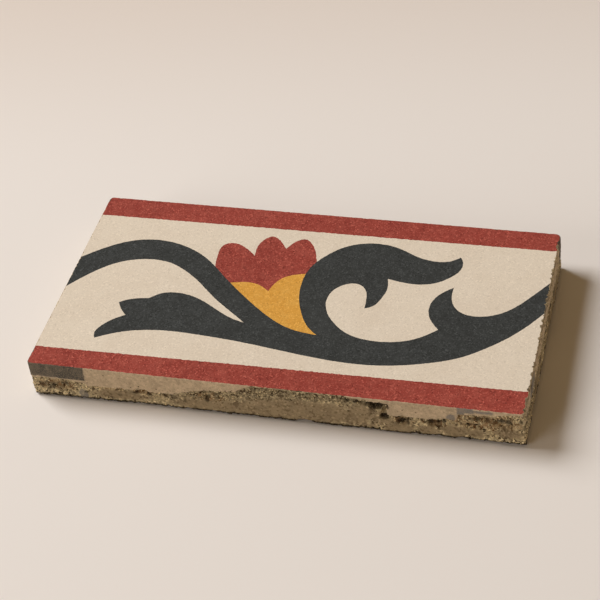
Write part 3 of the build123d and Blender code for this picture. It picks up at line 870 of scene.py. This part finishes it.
def relief_tree(materials):
    """Geometry Nodes that break up the mortar, strew sand on it and give every cell its material."""
    tree = bpy.data.node_groups.new("Mortar Relief", "GeometryNodeTree")
    tree.interface.new_socket("Geometry", in_out="INPUT", socket_type="NodeSocketGeometry")
    for name in RELIEF_INPUTS:
        tree.interface.new_socket(name, in_out="INPUT", socket_type="NodeSocketFloat")
    tree.interface.new_socket("Seed", in_out="INPUT", socket_type="NodeSocketInt")
    tree.interface.new_socket("Geometry", in_out="OUTPUT", socket_type="NodeSocketGeometry")
    b = Builder(tree)
    given = b.node("NodeGroupInput").outputs
    place = b.node("GeometryNodeInputPosition").outputs[0]

    def named(name, kind="FLOAT"):
        return b.node("GeometryNodeInputNamedAttribute", {"Name": name}, data_type=kind).outputs[0]

    def stored(geometry, name, value, kind, domain):
        inputs = {"Geometry": geometry, "Name": name, "Value": value}
        return b.node("GeometryNodeStoreNamedAttribute", inputs, data_type=kind, domain=domain).outputs[0]

    rough = named("rough")
    seed = b.math("MULTIPLY", given["Seed"], 1.37)
    lumps = b.noise(given["Grain"], 4.0, 0.62, place, seed)
    pores = b.cells(given["Pore"], place, seed)
    chance = b.parts(pores.outputs["Color"])[0]
    coarse, painted_shade = b.parts(named("mortar", "FLOAT_VECTOR"))[1:]
    open_pore = b.between(b.math("MULTIPLY_ADD", coarse, 0.22, chance), 0.55, 0.8)
    pore = b.math("MULTIPLY", b.between(pores.outputs["Distance"], 0.2, 0.55, 1.0, 0.0), open_pore)
    lump_depth = b.math("MULTIPLY", b.between(lumps, 0.62, 0.32), given["Relief"])
    depth = b.math("MULTIPLY_ADD", pore, given["Pore Depth"], lump_depth)
    depth = b.math("MULTIPLY", depth, rough)
    whole = b.math("ADD", given["Relief"], given["Pore Depth"])
    marked = stored(given["Geometry"], "depth", b.math("DIVIDE", depth, whole), "FLOAT", "POINT")
    inward = b.scaled(named("outward", "FLOAT_VECTOR"), b.math("MULTIPLY", depth, -1.0))
    broken = b.node("GeometryNodeSetPosition", {"Geometry": marked, "Offset": inward}).outputs[0]

    spread = b.math("MULTIPLY", given["Sand Spacing"], given["Sand Spacing"])
    bare = b.math("MULTIPLY", b.between(rough, 0.5, 0.9), b.between(painted_shade, 0.5, 0.1))
    density = b.math("DIVIDE", bare, spread)
    points = b.node("GeometryNodeDistributePointsOnFaces",
                    {"Mesh": broken, "Density": density, "Seed": given["Seed"]})
    plain = b.node("GeometryNodeRemoveAttribute", {"Geometry": points.outputs[0], "Name": "cell"})
    scale = b.scaled(b.random(0.3, 1.0, given["Seed"]), given["Sand"])
    turn = b.random(0.0, 6.283, 3)
    grain = b.node("GeometryNodeMeshCube", {"Size": (1.0, 1.0, 1.0)})
    celled = stored(grain.outputs[0], "cell", MORTAR, "INT", "FACE")
    inputs = {"Points": plain.outputs[0], "Instance": celled, "Rotation": turn, "Scale": scale}
    strewn = b.node("GeometryNodeInstanceOnPoints", inputs)
    tone = b.node("FunctionNodeRandomValue", {2: 0.2, 3: 1.0, "Seed": 5}, data_type="FLOAT").outputs[1]
    toned = stored(strewn.outputs[0], "sand", tone, "FLOAT", "INSTANCE")
    joined = b.node("GeometryNodeJoinGeometry")
    for geometry in (toned, broken):
        tree.links.new(geometry, joined.inputs[0])
    result = b.node("GeometryNodeRealizeInstances", {0: joined.outputs[0]}).outputs[0]
    for number, material in enumerate(materials):
        same = b.node("FunctionNodeCompare", {2: named("cell", "INT"), 3: number}, data_type="INT",
                      operation="EQUAL").outputs[0]
        result = b.node("GeometryNodeSetMaterial",
                        {"Geometry": result, "Selection": same, "Material": material}).outputs[0]
    b.node("NodeGroupOutput", {0: result})
    return tree


def rgba(colour_value, gain=1.0):
    """A colour as the four numbers that a socket takes, made lighter or darker by gain."""
    return (*[channel * gain for channel in colour_value], 1.0)


def new_material(name, diffuse):
    """An empty material, its builder, its shader and the place on the object."""
    material = bpy.data.materials.new(name)
    material.use_nodes = True
    material.diffuse_color = rgba(diffuse)
    b = Builder(material.node_tree)
    material.node_tree.nodes.clear()
    shader = b.node("ShaderNodeBsdfPrincipled", {"Specular IOR Level": 0.25})
    b.node("ShaderNodeOutputMaterial", {"Surface": shader.outputs[0]})
    place = b.node("ShaderNodeTexCoord").outputs["Object"]
    return material, b, shader, place


def cement_material(name, base, dark, light, fleck, mottle):
    """Pressed coloured cement: fine sand in the colour, faint clouds and shallow pinholes."""
    material, b, shader, place = new_material(name, base)
    clouds = b.between(b.noise(16 * MM, 4.0, 0.6, place, 1.0), 0.35, 0.65)
    smears = b.between(b.noise(3.5 * MM, 4.0, 0.7, place, 2.0), 0.4, 0.66)
    tone = b.mix(b.math("MULTIPLY", clouds, mottle), rgba(base), rgba(dark))
    tone = b.mix(b.math("MULTIPLY", smears, mottle), tone, rgba(light))
    sand = b.cells(0.5 * MM, place, 3.0)
    pick = b.parts(sand.outputs["Color"])
    patchy = b.between(b.noise(2.2 * MM, 3.0, 0.7, place, 5.0), 0.35, 0.65, 0.35, 1.0)
    dark_sand = b.math("MULTIPLY", b.between(pick[0], 0.62, 0.98), patchy)
    light_sand = b.math("MULTIPLY", b.between(pick[1], 0.66, 0.99), patchy)
    tone = b.mix(b.math("MULTIPLY", dark_sand, fleck), tone, rgba(dark, 0.6))
    tone = b.mix(b.math("MULTIPLY", light_sand, fleck), tone, rgba(light, 1.5))
    holes = b.cells(4.6 * MM, place, 4.0)
    pinhole = b.between(holes.outputs["Distance"], 0.05, 0.09, 1.0, 0.0)
    tone = b.mix(b.math("MULTIPLY", pinhole, 0.5), tone, rgba(dark, 0.45))
    b.feed(shader.inputs["Base Color"], tone)
    b.feed(shader.inputs["Roughness"], b.between(pick[2], 0.2, 0.8, 0.78, 0.92))
    height = b.math("SUBTRACT", b.noise(0.6 * MM, 3.0, 0.7, place, 6.0), pinhole)
    bump = b.node("ShaderNodeBump", {"Strength": 0.5, "Distance": 0.06 * MM, "Height": height})
    b.feed(shader.inputs["Normal"], bump.outputs[0])
    return material


def mortar_material(colours):
    """The sides and underside: skin, three kinds of mortar, its pits and sand, the stains, painted shade
    and a painted light low down.
    """
    material, b, shader, place = new_material(MATERIAL_NAMES[MORTAR], colours.mortar)
    mortar, pits_and_painted_shade, skin_colour = colours.mortar, colours.pits_and_painted_shade, colours.skin

    def painted(name, field="Fac"):
        return b.node("ShaderNodeAttribute", attribute_name=name).outputs[field]

    skin, depth, sand = painted("skin"), painted("depth"), painted("sand")
    charcoal_stain, slate_stain, rust_stain = b.parts(painted("stains", "Vector"))
    trowelled, coarse, painted_shade = b.parts(painted("mortar", "Vector"))

    grit = b.cells(0.85 * MM, place, 1.0)
    pick = b.parts(grit.outputs["Color"])
    fine = b.noise(0.5 * MM, 3.0, 0.7, place, 2.0)
    freckle = b.noise(1.1 * MM, 3.0, 0.65, place, 9.0)
    clouds = b.between(b.noise(6 * MM, 4.0, 0.65, place, 3.0), 0.38, 0.62)
    clusters = b.between(b.noise(3.2 * MM, 3.0, 0.6, place, 8.0), 0.4, 0.6, 0.25, 1.0)

    porous = b.mix(clouds, rgba(mortar, 1.1), rgba(mortar, 0.85))
    porous = b.mix(b.between(pick[0], 0.55, 0.92, 0.0, 0.9), porous, rgba(mortar, 1.85))
    specks = b.math("MULTIPLY", b.between(pick[1], 0.54, 0.78), clusters)
    porous = b.mix(specks, porous, rgba(pits_and_painted_shade, 0.6))
    granular = b.mix(b.between(fine, 0.36, 0.62), rgba(mortar, 0.36), rgba(mortar, 0.8))
    granular = b.mix(b.between(pick[2], 0.72, 0.95, 0.0, 0.7), granular, rgba(mortar, 1.4))
    granular = b.mix(b.between(pick[1], 0.62, 0.85, 0.0, 0.85), granular, rgba(pits_and_painted_shade))
    broken = b.mix(coarse, porous, granular)
    rust_break = b.between(b.noise(1.8 * MM, 3.0, 0.6, place, 4.0), 0.4, 0.6)
    rusty = b.math("MULTIPLY", rust_stain, b.math("MULTIPLY", rust_break, 0.5))
    broken = b.mix(rusty, broken, rgba(colours.rust))
    smoothed = b.mix(clouds, rgba(colours.trowelled), rgba(colours.trowelled, 0.8))
    smoothed = b.mix(b.between(fine, 0.46, 0.32, 0.0, 0.5), smoothed, rgba(colours.trowelled, 0.5))
    smoothed = b.mix(b.between(pick[0], 0.86, 0.98, 0.0, 0.4), smoothed, rgba(colours.trowelled, 1.6))
    smoothed = b.mix(b.math("MULTIPLY", specks, 0.5), smoothed, rgba(pits_and_painted_shade, 1.4))
    broken = b.mix(b.math("MULTIPLY", trowelled, b.math("SUBTRACT", 1.0, coarse)), broken, smoothed)
    # Painted shade: the deeper the relief has pushed a point in, the nearer its colour comes to the pits'
    # dark.
    broken = b.mix(b.between(depth, 0.28, 0.62, 0.0, 0.92), broken, rgba(pits_and_painted_shade))

    veil = b.noise(5 * MM, 4.0, 0.65, place, 5.0)
    smooth = b.mix(b.between(veil, 0.35, 0.65), rgba(skin_colour, 0.86), rgba(skin_colour, 1.1))
    smooth = b.mix(b.between(freckle, 0.48, 0.34, 0.0, 0.5), smooth, rgba(skin_colour, 0.6))
    smooth = b.mix(b.between(freckle, 0.52, 0.66, 0.0, 0.5), smooth, rgba(skin_colour, 1.4))
    smooth = b.mix(b.between(fine, 0.45, 0.33, 0.0, 0.7), smooth, rgba(skin_colour, 0.4))
    pinholes = b.cells(1.7 * MM, place, 6.0).outputs["Distance"]
    pinhole = b.math("MULTIPLY", b.between(pinholes, 0.14, 0.26, 1.0, 0.0), clusters)
    smooth = b.mix(pinhole, smooth, rgba(pits_and_painted_shade, 1.2))
    # Painted light: the mortar less than 5 mm above the floor is made paler, against the shade down by
    # the foot.
    painted_foot_light = b.between(b.parts(place)[2], 5 * MM, 1 * MM)
    broken = b.mix(painted_foot_light, broken, (1.2, 1.22, 1.24, 1.0), "MULTIPLY")
    tone = b.mix(skin, broken, smooth)

    scuffs = b.between(b.noise(1.1 * MM, 4.0, 0.75, place, 7.0), 0.56, 0.7, 0.0, 0.75)
    charcoal = b.mix(b.between(veil, 0.34, 0.66, 0.05, 0.2), rgba(colours.scroll), rgba(skin_colour))
    charcoal = b.mix(b.between(fine, 0.48, 0.62, 0.0, 0.7), charcoal, rgba(skin_colour, 0.5))
    charcoal = b.mix(b.math("MULTIPLY", scuffs, 0.85), charcoal, rgba(skin_colour, 0.85))
    tone = b.mix(charcoal_stain, tone, charcoal)
    slate = b.mix(b.between(fine, 0.35, 0.65), rgba(colours.slate, 0.7), rgba(colours.slate, 1.1))
    tone = b.mix(b.math("MULTIPLY", slate_stain, b.between(veil, 0.3, 0.6, 0.5, 0.9)), tone, slate)
    # Painted shade: near-black where the points carry painted shade, by the foot, in deep places and
    # under the worn edge.
    tone = b.mix(b.math("MULTIPLY", painted_shade, b.between(fine, 0.7, 0.4, 0.7, 1.0)), tone, rgba(pits_and_painted_shade, 0.25))
    is_sand = b.between(sand, 0.05, 0.15)
    grain_tone = b.mix(b.between(sand, 0.2, 1.0), rgba(mortar, 0.5), rgba(mortar, 1.9))
    tone = b.mix(is_sand, tone, grain_tone)
    b.feed(shader.inputs["Base Color"], tone)
    b.feed(shader.inputs["Roughness"], b.between(fine, 0.3, 0.7, 0.85, 0.97))
    height = b.math("ADD", fine, b.between(pick[1], 0.6, 0.95, 0.0, -0.8))
    bump = b.node("ShaderNodeBump", {"Strength": 0.6, "Distance": 0.12 * MM, "Height": height})
    b.feed(shader.inputs["Normal"], bump.outputs[0])
    return material


def tile_materials(colours):
    """The material of each cell, in the order of the cells' numbers."""
    cements = (
        (colours.ground, linear(214, 197, 176), linear(234, 222, 205), 0.26, 0.25),
        (colours.scroll, linear(44, 46, 45), linear(70, 73, 73), 0.75, 0.4),
        (colours.petals, linear(128, 46, 37), linear(176, 90, 76), 0.75, 0.4),
        (colours.calyx, linear(206, 144, 54), linear(234, 182, 92), 0.45, 0.4),
    )
    return [*[cement_material(name, *look) for name, look in zip(MATERIAL_NAMES, cements)],
            mortar_material(colours)]


def read(items, field, kind=np.int32):
    """One number of each item of a mesh."""
    values = np.empty(len(items), kind)
    items.foreach_get(field, values)
    return values


def read_vectors(items, field):
    """One vector of each item of a mesh."""
    values = np.empty(len(items) * 3)
    items.foreach_get(field, values)
    return values.reshape(-1, 3)


def mesh_cells(mesh):
    """The cell number of each face, read from the material in its slot."""
    order = [MATERIAL_NAMES.index(slot.name) if slot else MORTAR for slot in mesh.materials]
    return np.array(order)[read(mesh.polygons, "material_index")]


def bake_map(mesh):
    """A flat map that gives the face half of the image and every side a strip of its own."""
    low, high = (np.array(corner) for corner in CAD_BOX)
    centres = read_vectors(mesh.polygons, "center")
    gaps = np.column_stack([
        centres[:, 1] - low[1], high[0] - centres[:, 0], high[1] - centres[:, 1],
        centres[:, 0] - low[0], 3 * (centres[:, 2] - low[2]),
    ])
    front, right, back, left, under = range(1, 6)
    facing = 1 + np.argmin(gaps, axis=1)
    facing[mesh_cells(mesh) != MORTAR] = 0
    where = np.repeat(facing, read(mesh.polygons, "loop_total"))
    corners = read_vectors(mesh.vertices, "co")[read(mesh.loops, "vertex_index")]
    x, y, z = ((corners - low) / (high - low)).T

    margin = 0.006
    whole = 1 - 2 * margin
    half = 0.485
    face_depth = 0.48
    strip = 0.088
    rows = [0.494 + k * (strip + margin) for k in range(4)]
    layout = {
        0: (margin + x * whole, margin + y * face_depth),
        front: (margin + x * whole, rows[0] + z * strip),
        back: (margin + (1 - x) * whole, rows[1] + z * strip),
        right: (margin + y * half, rows[2] + z * strip),
        left: (1 - margin - y * half, rows[2] + z * strip),
        under: (margin + x * 0.44, rows[3] + y * 0.218),
    }
    flat = np.zeros((len(where), 2))
    for number, (u, v) in layout.items():
        here = where == number
        flat[here] = np.column_stack([u[here], v[here]])
    layer = mesh.uv_layers.new(name="OFBake")
    layer.data.foreach_set("uv", flat.ravel())


def finished(blank, name):
    """A plain object of the evaluated mesh, kept inside the part's box."""
    evaluated = blank.evaluated_get(bpy.context.evaluated_depsgraph_get())
    mesh = bpy.data.meshes.new_from_object(evaluated)
    mesh.name = name
    places = np.clip(read_vectors(mesh.vertices, "co"), *CAD_BOX)
    mesh.vertices.foreach_set("co", places.ravel())
    mesh.update()
    bpy.data.objects.remove(blank)
    tile = bpy.data.objects.new(name, mesh)
    bpy.context.scene.collection.objects.link(tile)
    return tile


class BORDERTILE_OT_block(bpy.types.Operator):
    """Make the tile with its inlaid face, skin and broken mortar"""

    bl_idname = "border_tile.block"
    bl_label = "Make Tile"

    def execute(self, context):
        """Builds the block, breaks up its mortar and puts it in the place of the part's solid."""
        sizes, colours = context.scene.tile_sizes, context.scene.tile_colours
        blank = bpy.data.objects.new("tile_blank", block_mesh(sizes))
        context.scene.collection.objects.link(blank)
        tree = relief_tree(tile_materials(colours))
        relief = blank.modifiers.new("Mortar Relief", "NODES")
        relief.node_group = tree
        given = [item for item in tree.interface.items_tree if item.in_out == "INPUT"]
        sockets = {item.name: item.identifier for item in given}
        for name, size in RELIEF_INPUTS.items():
            relief[sockets[name]] = getattr(sizes, size)
        relief[sockets["Seed"]] = sizes.seed
        tile = finished(blank, "pressed_tile")
        tile.data.polygons.foreach_set("use_smooth", mesh_cells(tile.data) == MORTAR)
        bake_map(tile.data)
        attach(tile, "root")
        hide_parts("border_tile")
        return {"FINISHED"}


def stage_floor(colours):
    """A wide pale floor at the tile's underside, with painted shade that makes it a little darker far
    behind the tile.
    """
    mesh = bpy.data.meshes.new("floor")
    reach = 4.0
    corners = [(x * reach, y * reach, CAD_BOX[0][2]) for x, y in CORNER_SIGNS]
    mesh.from_pydata(corners, [], [(0, 1, 2, 3)])
    material, b, shader, place = new_material("pale_floor", colours.floor)
    across, away = b.parts(place)[:2]
    # Painted shade: the floor darkens from 90 to 330 mm behind the tile, sooner to the left, for light
    # that falls off.
    painted_falloff = b.between(b.math("MULTIPLY_ADD", across, -0.25, away), 90 * MM, 330 * MM)
    b.feed(shader.inputs["Base Color"], b.mix(painted_falloff, rgba(colours.floor), rgba(linear(224, 212, 202))))
    b.feed(shader.inputs["Roughness"], 0.9)
    mesh.materials.append(material)
    floor = bpy.data.objects.new("floor", mesh)
    bpy.context.scene.collection.objects.link(floor)


def area_light(name, direction, size, power, tint):
    """A square lamp that looks at the tile from a direction."""
    lamp = bpy.data.lights.new(name, "AREA")
    lamp.size = size
    lamp.energy = power
    lamp.color = tint
    aim = Vector(direction).normalized()
    thing = bpy.data.objects.new(name, lamp)
    turned = aim.to_track_quat("Z", "Y").to_matrix().to_4x4()
    thing.matrix_world = Matrix.Translation(aim * LAMP_DISTANCE) @ turned
    bpy.context.scene.collection.objects.link(thing)


def photo_camera():
    """A camera where the photograph's stood."""
    turn, rise, roll = CAMERA_AZIMUTH, CAMERA_ELEVATION, CAMERA_ROLL
    back = Vector((math.sin(turn) * math.cos(rise), -math.cos(turn) * math.cos(rise), math.sin(rise)))
    level = Vector((math.cos(turn), math.sin(turn), 0))
    upright = back.cross(level)
    right = math.cos(roll) * level + math.sin(roll) * upright
    up = back.cross(right)
    eye = back * CAMERA_DISTANCE + right * CAMERA_SLIDE[0] + up * CAMERA_SLIDE[1]
    lens = bpy.data.cameras.new("photo_camera")
    lens.sensor_width = SENSOR_WIDTH
    lens.lens = FOCAL_PIXELS / FRAME_PIXELS * SENSOR_WIDTH
    lens.shift_x = 0.5 - PICTURE_CENTRE[0] / FRAME_PIXELS
    lens.shift_y = PICTURE_CENTRE[1] / FRAME_PIXELS - 0.5
    lens.clip_start = 0.01
    camera = bpy.data.objects.new("photo_camera", lens)
    axes = Matrix((right, up, back)).transposed().to_4x4()
    camera.matrix_world = Matrix.Translation(eye * MM) @ axes
    bpy.context.scene.collection.objects.link(camera)
    bpy.context.scene.camera = camera


class BORDERTILE_OT_stage(bpy.types.Operator):
    """Set the floor, the lamps, the sky and the camera"""

    bl_idname = "border_tile.stage"
    bl_label = "Set Stage"

    def execute(self, context):
        """Lays the floor, hangs the lamps and stands the camera where the photograph's stood."""
        stage_floor(context.scene.tile_colours)
        for name, lamp in LAMPS.items():
            area_light(name, *lamp)
        world = bpy.data.worlds.new("studio")
        world.use_nodes = True
        world.node_tree.nodes["Background"].inputs["Color"].default_value = SKY_COLOUR
        world.node_tree.nodes["Background"].inputs["Strength"].default_value = SKY_STRENGTH
        context.scene.world = world
        context.scene.view_settings.view_transform = "Standard"
        photo_camera()
        return {"FINISHED"}


class BORDERTILE_PT_panel(bpy.types.Panel):
    """Lists the tile's operators and settings"""

    bl_idname = "BORDERTILE_PT_panel"
    bl_label = "Border Tile"
    bl_space_type = "VIEW_3D"
    bl_region_type = "UI"
    bl_category = "Border Tile"

    def draw(self, context):
        """Draws one row for each operator and each setting."""
        for operator in OPERATORS:
            self.layout.operator(operator.bl_idname)
        for group in (context.scene.tile_sizes, context.scene.tile_colours):
            for name in group.__annotations__:
                self.layout.prop(group, name)


OPERATORS = (BORDERTILE_OT_stage, BORDERTILE_OT_block)
CLASSES = (TileSizes, TileColours, *OPERATORS, BORDERTILE_PT_panel)


def register():
    """Adds the classes and the scene's settings."""
    for cls in CLASSES:
        bpy.utils.register_class(cls)
    bpy.types.Scene.tile_sizes = PointerProperty(type=TileSizes)
    bpy.types.Scene.tile_colours = PointerProperty(type=TileColours)


def unregister():
    """Removes the settings and the classes."""
    del bpy.types.Scene.tile_colours
    del bpy.types.Scene.tile_sizes
    for cls in reversed(CLASSES):
        bpy.utils.unregister_class(cls)


def main():
    """Registers the add-on and runs its operators in order."""
    register()
    bpy.ops.border_tile.stage()
    bpy.ops.border_tile.block()


if __name__ == "__main__":
    main()
